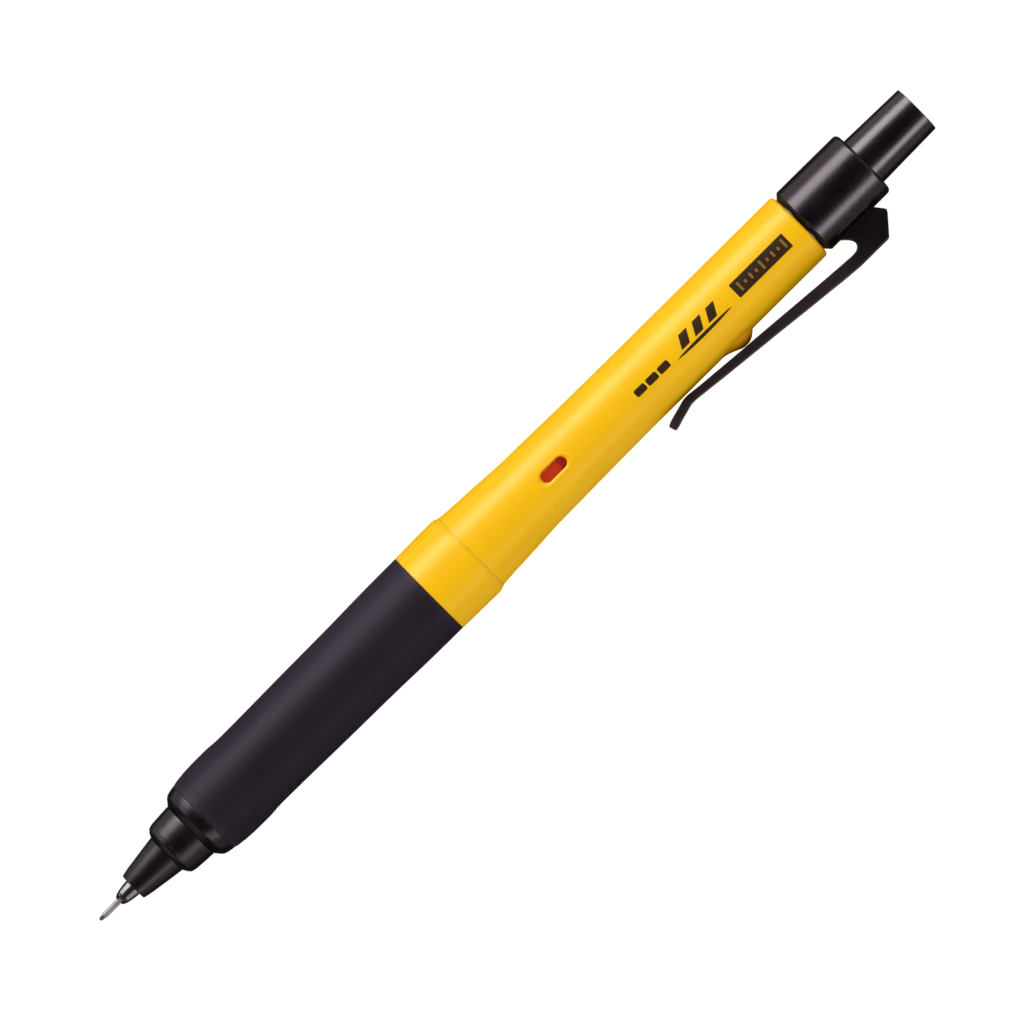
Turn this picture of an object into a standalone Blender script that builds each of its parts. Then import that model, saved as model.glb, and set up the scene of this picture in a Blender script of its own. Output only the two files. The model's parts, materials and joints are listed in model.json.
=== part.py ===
"""Mechanical pencil, 0.5 mm, click top, with a lead that turns a little at every stroke.

The pencil lies along X: writing tip at -X, push button at +X, clip towards -Y, window in
the barrel towards +Z. Z = 0 is the lowest point of the widest ring, and the object's box is
centred on X = 0, Y = 0. Stations S are millimetres from the tip of the lead along the axis,
and radii are millimetres from the axis.
"""
import math

import bmesh
import bpy
from mathutils import Matrix, Vector

# ---------------------------------------------------------------- driving dimensions (mm)
LENGTH = 145.0            # tip of the lead to the end of the button
RING_R = 6.18             # widest radius, at the yellow ring
CLIP_OUT = 9.15           # farthest reach of the clip from the axis
CLIP_W = 4.6              # clip width at its root
CLIP_TIP_W = 3.7          # clip width at its free end

LEAD_R = 0.28             # 0.5 mm class lead is 0.56 mm thick
PIPE_R, PIPE_BORE = 0.39, 0.335
NOSE_FRONT = 5.9
GRIP_FRONT, GRIP_BACK = 18.6, 58.4
RING_FRONT, RING_BACK = 58.5, 65.8
BARREL_FRONT, BARREL_BACK = 65.92, 124.2
COLLAR_FRONT, COLLAR_BACK = 124.45, 135.5
CAP_SHOWS = 135.6         # from here to the end the button shows

BARREL_BORE = 4.4         # radius of the long bore that holds the inner unit
TUBE_R, TUBE_BORE = 4.3, 3.2   # front barrel under the grip
CASE_BORE = 3.7           # ratchet housing

STROKE = 0.25             # how far writing pressure pushes the rotor back
TEETH = 40                # ratchet teeth on each face
TOOTH_H = 0.3             # height of a tooth
TOOTH_CLEAR = 0.05        # gap between tooth tips at either end of the stroke
ROTOR_FRONT, ROTOR_BACK = 76.95, 83.8

WINDOW_S = 80.5           # centre of the pill window
WINDOW_L, WINDOW_W = 4.1, 1.64

N_OUT = 48                # facets round the outer pieces
N_MID = 40
N_IN = 24
N_FINE = 12

MM = 0.001
AXIS_Y = (CLIP_OUT - RING_R) / 2 * MM
AXIS_Z = RING_R * MM


# ---------------------------------------------------------------- scene and collections
for ob in list(bpy.data.objects):
    bpy.data.objects.remove(ob, do_unlink=True)

parts = bpy.data.collections.new("mechanical_pencil")
guides = bpy.data.collections.new("pencil_cutters")
bpy.context.scene.collection.children.link(parts)
bpy.context.scene.collection.children.link(guides)

# the pencil's axis: its local +Z points to the button, local +X down, local -Y to the clip
axis = bpy.data.objects.new("pencil_axis", None)
axis.location = (0.0, AXIS_Y, AXIS_Z)
axis.rotation_euler = (0.0, math.pi / 2, 0.0)
axis.empty_display_size = 0.01
parts.objects.link(axis)


def along(s):
    """Local height in metres of a station."""
    return (s - LENGTH / 2) * MM


def finish(name, color, rough, metallic=0.0, alpha=1.0, coat=0.0):
    m = bpy.data.materials.new(name)
    m.use_nodes = True
    b = m.node_tree.nodes["Principled BSDF"]
    b.inputs["Base Color"].default_value = (*color, 1.0)
    b.inputs["Roughness"].default_value = rough
    b.inputs["Metallic"].default_value = metallic
    b.inputs["Alpha"].default_value = alpha
    b.inputs["Coat Weight"].default_value = coat
    m.diffuse_color = (*color, alpha)
    return m


def on_axis(ob, s, where=parts):
    """Hangs an object on the pencil's axis with its origin at a station."""
    where.objects.link(ob)
    ob.parent = axis
    ob.location = (0.0, 0.0, along(s))
    return ob


def smooth(ob, degrees=32):
    ob.data.shade_smooth()
    ob.data.set_sharp_from_angle(angle=math.radians(degrees))


def turned(name, outer, inner, origin, segments, material, where=parts):
    """A turned piece. outer is (station, radius) from the button end to the tip end, and
    inner goes back from the tip end to the button end. With no inner the piece is solid."""
    profile = [(s, r) for s, r in outer] + [(s, r) for s, r in inner]
    me = bpy.data.meshes.new(name)
    bm = bmesh.new()
    vs = [bm.verts.new((r * MM, 0.0, (s - origin) * MM)) for s, r in profile]
    for a, b in zip(vs, vs[1:]):
        bm.edges.new((a, b))
    if inner:
        bm.edges.new((vs[-1], vs[0]))
    bm.to_mesh(me)
    bm.free()
    me.materials.append(material)
    ob = bpy.data.objects.new(name, me)
    on_axis(ob, origin, where)
    mod = ob.modifiers.new("turn", "SCREW")
    mod.axis = "Z"
    mod.angle = math.tau
    mod.steps = segments
    mod.render_steps = segments
    mod.use_merge_vertices = True
    mod.merge_threshold = 1e-6
    mod.use_smooth_shade = True
    return ob


def baked(ob):
    """Turns an object's modifiers into plain mesh."""
    dg = bpy.context.evaluated_depsgraph_get()
    me = bpy.data.meshes.new_from_object(ob.evaluated_get(dg))
    bm = bmesh.new()
    bm.from_mesh(me)
    bmesh.ops.remove_doubles(bm, verts=bm.verts, dist=1e-6)
    bm.to_mesh(me)
    bm.free()
    if ob.type == "MESH":
        ob.modifiers.clear()
        ob.data = me
        return ob
    new = bpy.data.objects.new(ob.name + "_mesh", me)
    home = ob.users_collection[0]
    home.objects.link(new)
    new.parent = ob.parent
    new.location = ob.location
    new.rotation_euler = ob.rotation_euler
    name = ob.name
    bpy.data.objects.remove(ob, do_unlink=True)
    new.name = name
    return new


def as_cutter(ob):
    ob.hide_render = True
    ob.display_type = "WIRE"
    return ob


def boolean(ob, other, operation):
    mod = ob.modifiers.new(operation.lower(), "BOOLEAN")
    mod.object = other
    mod.operation = operation
    mod.solver = "EXACT"
    return mod


def plate(name, outline, width, origin, material, where):
    """A flat outline in the plane through the axis and the clip, given thickness across it.
    outline is (station, distance from the axis towards the clip)."""
    cu = bpy.data.curves.new(name, "CURVE")
    cu.dimensions = "2D"
    cu.fill_mode = "BOTH"
    cu.extrude = width / 2 * MM
    sp = cu.splines.new("POLY")
    sp.points.add(len(outline) - 1)
    for p, (s, d) in zip(sp.points, outline):
        p.co = ((s - origin) * MM, -d * MM, 0.0, 1.0)
    sp.use_cyclic_u = True
    cu.materials.append(material)
    ob = bpy.data.objects.new(name, cu)
    on_axis(ob, origin, where)
    # the curve's own X runs along the pencil, so it is turned back out of the axis frame
    ob.rotation_euler = (0.0, -math.pi / 2, 0.0)
    return baked(ob)


def arc(cs, cd, r, start, end, n):
    """Points on an arc in the clip's plane, angles in degrees from the +S direction."""
    return [
        (
            cs + r * math.cos(math.radians(start + (end - start) * i / n)),
            cd + r * math.sin(math.radians(start + (end - start) * i / n)),
        )
        for i in range(n + 1)
    ]


def eased(points, s):
    """Straight interpolation through (station, value) pairs."""
    for (a, va), (b, vb) in zip(points, points[1:]):
        if s <= b:
            return va + (vb - va) * (s - a) / (b - a)
    return points[-1][1]


def coil(name, s0, s1, r, wire, turns, per_turn, origin, material):
    """A compression spring with closed ends: its pitch is small in the first and last turn."""
    cu = bpy.data.curves.new(name, "CURVE")
    cu.dimensions = "3D"
    cu.bevel_depth = wire * MM
    cu.bevel_resolution = 2
    cu.use_fill_caps = True
    n = int(turns * per_turn)
    dead = wire * 2.15
    lo, hi = s0 + wire, s1 - wire
    sp = cu.splines.new("POLY")
    sp.points.add(n)
    for i, p in enumerate(sp.points):
        t = i / per_turn
        if t <= 1.0:
            s = lo + dead * t
        elif t >= turns - 1.0:
            s = hi - dead * (turns - t)
        else:
            s = lo + dead + (hi - lo - 2 * dead) * (t - 1.0) / (turns - 2.0)
        a = math.tau * t
        p.co = (r * math.cos(a) * MM, r * math.sin(a) * MM, (s - origin) * MM, 1.0)
    cu.materials.append(material)
    ob = bpy.data.objects.new(name, cu)
    on_axis(ob, origin)
    return baked(ob)


def toothed(name, front, back, r_in, r_out, front_teeth, back_teeth, origin, material):
    """A ring with saw teeth on one or both end faces. front and back are the stations of the
    tooth tips, or of the plain face. Each tooth is a long ramp and a steep drop."""
    me = bpy.data.meshes.new(name)
    bm = bmesh.new()
    pitch = math.tau / TEETH
    rings = []
    for i in range(TEETH):
        for part, high in ((0.0, False), (0.86, True)):
            a = (i + part) * pitch
            # on the front face the tips stand towards the tip, on the back face to the button
            f = front if (high or not front_teeth) else front + TOOTH_H
            k = back if (high or not back_teeth) else back - TOOTH_H
            c, s = math.cos(a), math.sin(a)
            rings.append(
                [
                    bm.verts.new((r * c * MM, r * s * MM, (z - origin) * MM))
                    for r, z in ((r_out, k), (r_out, f), (r_in, f), (r_in, k))
                ]
            )
    for here, there in zip(rings, rings[1:] + rings[:1]):
        for j in range(4):
            k = (j + 1) % 4
            bm.faces.new((here[j], here[k], there[k], there[j]))
    bmesh.ops.recalc_face_normals(bm, faces=bm.faces)
    bm.to_mesh(me)
    bm.free()
    me.materials.append(material)
    ob = bpy.data.objects.new(name, me)
    on_axis(ob, origin)
    smooth(ob)
    return ob


# ---------------------------------------------------------------- materials
yellow = finish("yellow_plastic", (0.93, 0.55, 0.01), 0.34)
black = finish("gloss_black_plastic", (0.008, 0.006, 0.008), 0.16, coat=0.3)
gel = finish("charcoal_gel", (0.022, 0.018, 0.024), 0.55)
clipblack = finish("clip_black", (0.012, 0.009, 0.012), 0.25)
clear = finish("clear_plastic", (0.95, 0.93, 0.88), 0.08, alpha=0.3)
red = finish("rotor_red", (0.62, 0.05, 0.01), 0.35)
camwhite = finish("cam_natural", (0.78, 0.77, 0.72), 0.4)
tubegrey = finish("tube_grey", (0.32, 0.33, 0.35), 0.45)
magazine = finish("magazine_white", (0.80, 0.80, 0.78), 0.4)
brass = finish("brass", (0.78, 0.57, 0.22), 0.28, metallic=1.0)
steel = finish("steel", (0.62, 0.61, 0.60), 0.22, metallic=1.0)
spring = finish("spring_steel", (0.50, 0.50, 0.52), 0.3, metallic=1.0)
rubber = finish("seal_rubber", (0.03, 0.03, 0.03), 0.8)
graphite = finish("graphite", (0.06, 0.06, 0.065), 0.45, metallic=0.3)
white = finish("eraser_white", (0.85, 0.85, 0.84), 0.8)

# ---------------------------------------------------------------- front: nose, grip, rings
nose = turned(
    "nose_cone",
    [(24.0, 3.08), (16.25, 3.08), (16.25, 3.95), (16.05, 4.15), (15.7, 4.17), (14.6, 4.10),
     (13.25, 3.98), (12.95, 3.85), (12.6, 3.30), (12.1, 2.96), (11.6, 2.82), (9.1, 2.47),
     (7.05, 2.17), (6.15, 1.98), (NOSE_FRONT, 1.78)],
    [(NOSE_FRONT, 1.27), (7.2, 1.27), (7.2, 1.65), (12.2, 1.65), (12.9, 2.6), (24.0, 2.6)],
    16.0, N_MID, black)

front_ring = turned(
    "grip_front_ring",
    [(18.45, 5.43), (17.6, 5.33), (17.1, 5.18), (16.7, 4.85), (16.4, 4.5)],
    [(16.4, 3.25), (17.0, 3.25), (17.0, 4.4), (18.45, 4.4)],
    17.0, N_MID, black)

grip = turned(
    "gel_grip",
    [(GRIP_BACK, 6.08), (56.0, 6.07), (51.4, 6.01), (47.0, 5.915), (40.0, 5.84), (34.0, 5.765),
     (28.0, 5.69), (25.7, 5.745), (23.6, 5.83), (21.2, 5.79), (20.0, 5.71), (19.2, 5.60), (GRIP_FRONT, 5.46)],
    [(GRIP_FRONT, 4.4), (GRIP_BACK, 4.4)],
    38.0, N_MID, gel)

front_barrel = turned(
    "front_barrel",
    [(72.0, TUBE_R), (17.15, TUBE_R)], [(17.15, TUBE_BORE), (72.0, TUBE_BORE)],
    45.0, N_IN, tubegrey)

joint_ring = turned(
    "joint_ring",
    [(RING_BACK, 6.02), (65.6, 6.16), (65.3, RING_R), (59.0, 6.12), (RING_FRONT, 6.05)],
    [(RING_FRONT, 4.4), (RING_BACK, 4.4)],
    62.0, N_OUT, yellow)

# ---------------------------------------------------------------- rear barrel
barrel_skin = [
    (BARREL_BACK, 4.55), (124.1, 4.80), (123.9, 4.96), (123.5, 5.05), (93.0, 5.07), (89.0, 5.10),
    (84.7, 5.15), (80.0, 5.25), (77.0, 5.27), (75.6, 5.30), (74.1, 5.39), (72.6, 5.49),
    (71.0, 5.57), (69.8, 5.63), (68.5, 5.68), (67.8, 5.73), (66.8, 5.80), (BARREL_FRONT, 5.86),
]
barrel = turned(
    "barrel", barrel_skin,
    [(BARREL_FRONT, BARREL_BORE), (BARREL_BACK, BARREL_BORE)],
    95.0, N_OUT, yellow)

# the small ridge under the clip that the clip's inner side rests near
ridge = plate(
    "clip_ridge",
    [(105.6, 4.75), (105.6, 5.02), (107.0, 5.45), (108.2, 5.80), (109.0, 5.88), (109.9, 5.86),
     (110.5, 5.5), (110.9, 4.9), (110.9, 4.75)],
    3.0, 108.0, yellow, guides)
as_cutter(ridge)
boolean(barrel, ridge, "UNION")


def pill(name, length, width, low, high, s, material, where):
    """An upright pill-shaped prism over a station, standing on the window's side."""
    half = (length - width) / 2
    outline = []
    for i in range(7):
        a = -math.pi / 2 + math.pi * i / 6
        outline.append((half + width / 2 * math.cos(a), width / 2 * math.sin(a)))
    for i in range(7):
        a = math.pi / 2 + math.pi * i / 6
        outline.append((-half + width / 2 * math.cos(a), width / 2 * math.sin(a)))
    cu = bpy.data.curves.new(name, "CURVE")
    cu.dimensions = "2D"
    cu.fill_mode = "BOTH"
    cu.extrude = (high - low) / 2 * MM
    sp = cu.splines.new("POLY")
    sp.points.add(len(outline) - 1)
    for p, (x, y) in zip(sp.points, outline):
        p.co = (x * MM, y * MM, 0.0, 1.0)
    sp.use_cyclic_u = True
    cu.materials.append(material)
    ob = bpy.data.objects.new(name, cu)
    on_axis(ob, s, where)
    ob.location = (-(high + low) / 2 * MM, 0.0, along(s))
    ob.rotation_euler = (0.0, -math.pi / 2, 0.0)
    return baked(ob)


window_cut = as_cutter(pill("window_cut", WINDOW_L, WINDOW_W, 3.9, 6.2, WINDOW_S, clear, guides))
boolean(barrel, window_cut, "DIFFERENCE")
window_lens = pill("window_lens", WINDOW_L - 0.2, WINDOW_W - 0.2, 4.42, 5.12, WINDOW_S, clear, parts)

# ---------------------------------------------------------------- collar and clip
collar = turned(
    "clip_collar",
    [(COLLAR_BACK, 4.35), (135.3, 4.72), (134.9, 4.94), (125.0, 4.99), (124.65, 4.85),
     (COLLAR_FRONT, 4.55), (COLLAR_FRONT, 4.3), (117.0, 4.3)],
    [(117.0, 3.75), (COLLAR_BACK, 3.75)],
    130.0, N_MID, black)

block = plate(
    "clip_block",
    [(126.1, CLIP_OUT), (130.9, CLIP_OUT - 0.02), (131.2, CLIP_OUT - 0.14), (133.3, 6.62),
     (133.42, 6.38), (133.35, 6.15), (132.4, 4.95), (132.4, 4.25), (126.4, 4.25), (126.4, 4.95)]
    + arc(126.3, 6.30, 1.42, -62, 50, 8) + [(126.6, 7.42), (126.1, 7.40)],
    CLIP_W, 129.0, black, guides)
as_cutter(block)
boolean(collar, block, "UNION")

clip_inner = [(94.55, 6.50), (94.75, 6.28), (95.3, 6.08), (96.2, 5.82), (97.5, 5.47), (98.3, 5.27),
              (98.9, 5.21), (99.6, 5.26), (100.8, 5.42), (103.3, 5.62), (105.8, 5.83), (110.9, 6.22),
              (115.9, 6.62), (120.9, 7.02), (125.95, 7.38)]
clip_outer = [(125.95, 9.12), (123.5, 8.89), (118.4, 8.41), (113.4, 7.86), (108.3, 7.36),
              (103.3, 6.85), (101.0, 6.60), (99.6, 6.44), (98.9, 6.42), (98.2, 6.52), (97.5, 6.72),
              (96.2, 7.08), (95.3, 7.36), (94.95, 7.42), (94.6, 7.28), (94.5, 6.95)]
clip = plate("clip", clip_inner + clip_outer, 2.0, 126.0, clipblack, parts)
for v in clip.data.vertices:
    s = v.co.x / MM + 126.0
    width = eased([(94.5, CLIP_TIP_W), (115.0, 4.2), (126.0, CLIP_W)], max(s, 94.5))
    if s < 95.6:  # the free end is rounded in plan
        width *= math.sqrt(max(0.2, 1 - ((95.6 - s) / 1.35) ** 2))
    v.co.z *= width / 2.0
# the clip's origin is moved to its flexing line, halfway through its thickness
CLIP_HINGE_D = 8.2
clip.location = (0.0, -CLIP_HINGE_D * MM, along(126.0))
clip.data.transform(Matrix.Translation((0.0, CLIP_HINGE_D * MM, 0.0)))

# ---------------------------------------------------------------- button and magazine
cap = turned(
    "push_cap",
    [(LENGTH, 0.0), (LENGTH, 3.28), (144.88, 3.40), (CAP_SHOWS, 3.58), (135.2, 3.64), (128.2, 3.64),
     (128.0, 3.55)],
    [(128.0, 3.0), (143.9, 3.0), (143.9, 0.0)],
    136.0, N_MID, black)
# the cap's profile starts and ends on the axis, so its closing edge would lie on the axis
bm = bmesh.new()
bm.from_mesh(cap.data)
for e in list(bm.edges):
    if all(abs(v.co.x) < 1e-9 for v in e.verts):
        bm.edges.remove(e)
bm.to_mesh(cap.data)
bm.free()

lead_tube = turned(
    "lead_tube",
    [(141.0, 2.8), (140.8, 2.9), (103.0, 2.9), (101.25, 2.2)],
    [(101.25, 1.3), (102.8, 1.3), (104.2, 2.3), (141.0, 2.3)],
    120.0, N_IN, magazine)

eraser = turned(
    "eraser",
    [(142.6, 0.0), (142.6, 1.95), (142.35, 2.2), (137.0, 2.2), (137.0, 0.0)], [],
    140.0, N_IN, white)

for i in range(3):
    a = math.tau * i / 3 + 0.4
    stick = turned(
        f"spare_lead_{i + 1}",
        [(135.0, 0.0), (135.0, LEAD_R), (75.0, LEAD_R), (75.0, 0.0)], [],
        105.0, 8, graphite)
    stick.location.x = 0.62 * math.cos(a) * MM
    stick.location.y = 0.62 * math.sin(a) * MM

# ---------------------------------------------------------------- ratchet housing
case = turned(
    "engine_case",
    [(97.0, TUBE_R), (72.3, TUBE_R)],
    [(72.3, 2.62), (73.3, 2.62), (73.3, CASE_BORE), (97.0, CASE_BORE)],
    84.0, N_MID, clear)
end_cap = turned(
    "engine_end_cap",
    [(96.95, 3.6), (95.95, 3.6)], [(95.95, 1.7), (96.95, 1.7)],
    96.5, N_IN, camwhite)

rotor = toothed("rotor", ROTOR_FRONT, ROTOR_BACK, 2.62, 3.58, True, True, 80.0, red)
lower_cam = toothed("lower_cam", 73.6, ROTOR_FRONT - TOOTH_CLEAR, 2.66, 3.58, False, True,
                    75.0, camwhite)
upper_cam = toothed("upper_cam", ROTOR_BACK + STROKE + TOOTH_CLEAR, 87.0, 2.66, 3.58, True,
                    False, 86.0, camwhite)

washer = turned(
    "torque_washer",
    [(89.4, 3.45), (88.6, 3.58), (88.15, 3.58)], [(88.15, 1.72), (89.4, 1.72)],
    89.0, N_IN, brass)
cushion = coil("cushion_spring", 89.5, 95.85, 2.75, 0.22, 5.0, 10, 92.5, spring)

# ---------------------------------------------------------------- turning unit
drive = turned(
    "drive_tube",
    [(88.0, 2.5), (24.15, 2.5)], [(24.15, 2.1), (88.0, 2.1)],
    56.0, N_IN, tubegrey)

sleeve = turned(
    "chuck_sleeve",
    [(28.0, 2.02), (24.0, 2.02), (24.0, 2.5), (15.95, 2.5)],
    [(15.95, 1.67), (16.9, 1.67), (16.9, 2.14), (20.6, 2.14), (20.6, 1.05), (22.0, 1.05),
     (22.0, 1.64), (28.0, 1.64)],
    20.0, N_IN, brass)

clutch = turned(
    "clutch_ring",
    [(19.6, 1.98), (19.5, 2.06), (17.6, 2.06), (17.5, 1.98)], [(17.5, 1.63), (19.6, 1.63)],
    18.5, N_IN, steel)

chuck = turned(
    "chuck",
    [(40.0, 0.95), (20.2, 0.95), (20.0, 1.2), (19.0, 1.54), (17.3, 1.54), (17.0, 1.3)],
    [(17.0, 0.34), (40.0, 0.34)],
    28.0, N_FINE, brass)
# three slits divide the front of the chuck into jaws
for i in range(3):
    me = bpy.data.meshes.new(f"slit_{i}")
    bm = bmesh.new()
    bmesh.ops.create_cube(bm, size=1.0)
    bm.to_mesh(me)
    bm.free()
    me.transform(Matrix.Translation((0.5, 0.0, 0.0)))
    me.transform(Matrix.Diagonal((2.2 * MM, 0.22 * MM, 14.0 * MM, 1.0)))
    me.transform(Matrix.Translation((0.1 * MM, 0.0, 0.0)))
    slit = bpy.data.objects.new(f"slit_{i}", me)
    on_axis(slit, 23.0, guides)
    slit.rotation_euler = (0.0, 0.0, math.tau * i / 3 + math.radians(15))
    as_cutter(slit)
    boolean(chuck, slit, "DIFFERENCE")

relay = turned(
    "relay_tube",
    [(100.9, 1.6), (38.0, 1.6), (38.0, 1.9), (36.5, 1.9)],
    [(36.5, 1.05), (40.6, 1.05), (41.2, 1.25), (100.9, 1.25)],
    68.0, 16, magazine)

chuck_spring = coil("chuck_spring", 22.1, 36.4, 1.3, 0.15, 9.0, 8, 29.0, spring)

slider = turned(
    "tip_slider",
    [(15.8, 2.45), (13.1, 2.45), (12.35, 1.55), (7.5, 1.55), (7.5, 1.17), (5.6, 1.17), (5.0, 1.10),
     (4.3, 0.97), (3.8, 0.80), (3.4, 0.62)],
    [(3.4, 0.45), (11.3, 0.45), (11.3, 1.08), (12.6, 1.08), (13.3, 2.0), (15.8, 2.0)],
    10.0, N_IN, steel)

retainer = turned(
    "lead_retainer",
    [(12.4, 1.0), (11.4, 1.0)], [(11.4, 0.35), (12.4, 0.35)],
    12.0, N_FINE, rubber)

pipe = turned(
    "guide_pipe",
    [(8.0, PIPE_R), (0.78, PIPE_R), (0.7, 0.37)], [(0.7, PIPE_BORE), (8.0, PIPE_BORE)],
    4.0, N_FINE, steel)

lead = turned(
    "lead",
    [(45.0, 0.0), (45.0, LEAD_R), (0.16, LEAD_R), (0.0, 0.16), (0.0, 0.0)], [],
    20.0, N_FINE, graphite)
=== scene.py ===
"""Looks of the mechanical pencil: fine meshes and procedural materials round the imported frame.

Everything is in metres in the row frame. S is the distance in millimetres from the tip of the
lead along the pencil, D the distance from the axis towards the clip, and H the height above
the axis. The stations are the same as the CAD's.
"""
import json
import math

import bmesh
import bpy
import numpy as np
from mathutils import Matrix, Vector

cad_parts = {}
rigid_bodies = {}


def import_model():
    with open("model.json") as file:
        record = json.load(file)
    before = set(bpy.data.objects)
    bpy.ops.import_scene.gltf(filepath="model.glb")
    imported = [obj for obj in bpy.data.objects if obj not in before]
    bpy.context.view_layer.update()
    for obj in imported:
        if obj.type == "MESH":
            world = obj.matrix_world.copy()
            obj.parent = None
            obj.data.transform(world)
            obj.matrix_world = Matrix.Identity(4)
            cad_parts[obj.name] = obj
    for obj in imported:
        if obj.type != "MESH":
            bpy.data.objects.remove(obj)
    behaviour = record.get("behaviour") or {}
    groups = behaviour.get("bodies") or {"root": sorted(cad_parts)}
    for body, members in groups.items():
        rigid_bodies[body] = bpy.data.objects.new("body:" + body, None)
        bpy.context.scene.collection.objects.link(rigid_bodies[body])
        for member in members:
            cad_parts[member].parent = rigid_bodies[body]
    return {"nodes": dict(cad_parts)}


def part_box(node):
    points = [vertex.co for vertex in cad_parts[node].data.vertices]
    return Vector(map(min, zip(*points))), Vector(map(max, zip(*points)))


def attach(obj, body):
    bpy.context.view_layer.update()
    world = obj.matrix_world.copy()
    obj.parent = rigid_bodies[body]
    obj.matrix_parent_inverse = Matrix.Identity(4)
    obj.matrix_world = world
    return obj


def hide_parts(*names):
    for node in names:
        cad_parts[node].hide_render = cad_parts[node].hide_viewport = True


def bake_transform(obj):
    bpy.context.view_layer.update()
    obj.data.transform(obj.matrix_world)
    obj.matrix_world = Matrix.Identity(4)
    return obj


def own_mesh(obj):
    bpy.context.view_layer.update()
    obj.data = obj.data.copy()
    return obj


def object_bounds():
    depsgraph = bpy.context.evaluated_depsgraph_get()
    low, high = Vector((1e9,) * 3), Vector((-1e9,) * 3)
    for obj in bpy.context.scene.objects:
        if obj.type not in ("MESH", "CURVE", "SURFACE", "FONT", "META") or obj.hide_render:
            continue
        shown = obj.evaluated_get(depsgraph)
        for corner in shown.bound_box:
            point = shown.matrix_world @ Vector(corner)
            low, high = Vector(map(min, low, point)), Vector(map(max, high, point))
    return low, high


for stray in list(bpy.data.objects):
    bpy.data.objects.remove(stray, do_unlink=True)

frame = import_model()
NODES = frame["nodes"]
cad_lo, cad_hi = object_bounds()

MM = 0.001
ring_lo, ring_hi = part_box("joint_ring")
AY = (ring_lo.y + ring_hi.y) / 2      # the pencil's axis
AZ = (ring_lo.z + ring_hi.z) / 2
X0 = cad_lo.x                         # tip of the lead
MAIN = "barrel_unit"


def at(s, d=0.0, h=0.0):
    return Vector((X0 + s * MM, AY - d * MM, AZ + h * MM))


# =====================================================================================
# mesh helpers
# =====================================================================================
def pchip(points, xs):
    """Monotone cubic curve through (x, y) pairs, so a profile never overshoots."""
    x = np.array([p[0] for p in points], float)
    y = np.array([p[1] for p in points], float)
    h = np.diff(x)
    m = np.diff(y) / h
    g = np.zeros(len(x))
    for i in range(1, len(x) - 1):
        if m[i - 1] * m[i] > 0:
            w1, w2 = 2 * h[i] + h[i - 1], h[i] + 2 * h[i - 1]
            g[i] = (w1 + w2) / (w1 / m[i - 1] + w2 / m[i])
    g[0], g[-1] = m[0], m[-1]
    out = []
    for v in xs:
        i = int(np.clip(np.searchsorted(x, v) - 1, 0, len(h) - 1))
        t = (v - x[i]) / h[i]
        out.append(
            (1 + 2 * t) * (1 - t) ** 2 * y[i]
            + t * (1 - t) ** 2 * h[i] * g[i]
            + t * t * (3 - 2 * t) * y[i + 1]
            + t * t * (t - 1) * h[i] * g[i + 1]
        )
    return out


def skin(points, s0, s1, n):
    """n + 1 evenly spaced (s, r) pairs on the smooth curve through the points."""
    xs = [s0 + (s1 - s0) * i / n for i in range(n + 1)]
    return list(zip(xs, pchip(sorted(points), xs)))


def rounded(corners, steps=5, closed=True):
    """A polygon's corners, each (a, b) or (a, b, radius), with the radii put in as arcs."""
    out = []
    n = len(corners)
    for i, c in enumerate(corners):
        if len(c) < 3 or c[2] <= 0 or (not closed and i in (0, n - 1)):
            out.append((c[0], c[1]))
            continue
        p, a, b = Vector(c[:2]), Vector(corners[i - 1][:2]), Vector(corners[(i + 1) % n][:2])
        u, v = (a - p), (b - p)
        lu, lv = u.length, v.length
        u.normalize(), v.normalize()
        cosang = max(-0.999999, min(0.999999, u.dot(v)))
        half = math.acos(cosang) / 2
        reach = min(c[2] / math.tan(half), lu * 0.49, lv * 0.49)
        r = reach * math.tan(half)
        mid = (u + v).normalized() * (r / math.sin(half))
        centre = p + mid
        start, end = (p + u * reach) - centre, (p + v * reach) - centre
        a0 = math.atan2(start.y, start.x)
        turn = math.atan2(end.y, end.x) - a0
        turn = (turn + math.pi) % (2 * math.pi) - math.pi
        for k in range(steps + 1):
            t = a0 + turn * k / steps
            out.append((centre.x + r * math.cos(t), centre.y + r * math.sin(t)))
    return out


def link(name, mesh):
    ob = bpy.data.objects.new(name, mesh)
    bpy.context.scene.collection.objects.link(ob)
    return ob


def polish(ob, sharp=34, weighted=True):
    """Smooth shading with sharp edges kept, and flat stretches kept flat next to fillets."""
    me = ob.data
    me.shade_smooth()
    me.set_sharp_from_angle(angle=math.radians(sharp))
    if weighted:
        w = ob.modifiers.new("normals", "WEIGHTED_NORMAL")
        w.mode = "FACE_AREA"
        w.weight = 50
        w.keep_sharp = True
    return ob


def lathe(name, loop, segs=128, ripple=None):
    """A closed (s, r) loop turned about the pencil's axis. Points at r = 0 become poles.
    ripple(s, r, angle) may move a point out or in, in millimetres."""
    bm = bmesh.new()
    cols = []
    for s, r in loop:
        if r < 1e-6:
            v = bm.verts.new(at(s))
            cols.append([v] * segs)
            continue
        ring = []
        for k in range(segs):
            a = math.tau * k / segs
            rr = r + (ripple(s, r, a) if ripple else 0.0)
            ring.append(bm.verts.new(at(s, rr * math.cos(a), rr * math.sin(a))))
        cols.append(ring)
    n = len(cols)
    for i in range(n):
        a, b = cols[i], cols[(i + 1) % n]
        if a[0] is a[1] and b[0] is b[1]:
            continue
        for k in range(segs):
            j = (k + 1) % segs
            quad = []
            for v in (a[k], a[j], b[j], b[k]):
                if v not in quad:
                    quad.append(v)
            if len(quad) > 2:
                bm.faces.new(quad)
    bmesh.ops.recalc_face_normals(bm, faces=bm.faces)
    me = bpy.data.meshes.new(name)
    bm.to_mesh(me)
    bm.free()
    if me_volume(me) < 0:
        me.flip_normals()
    return link(name, me)


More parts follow.
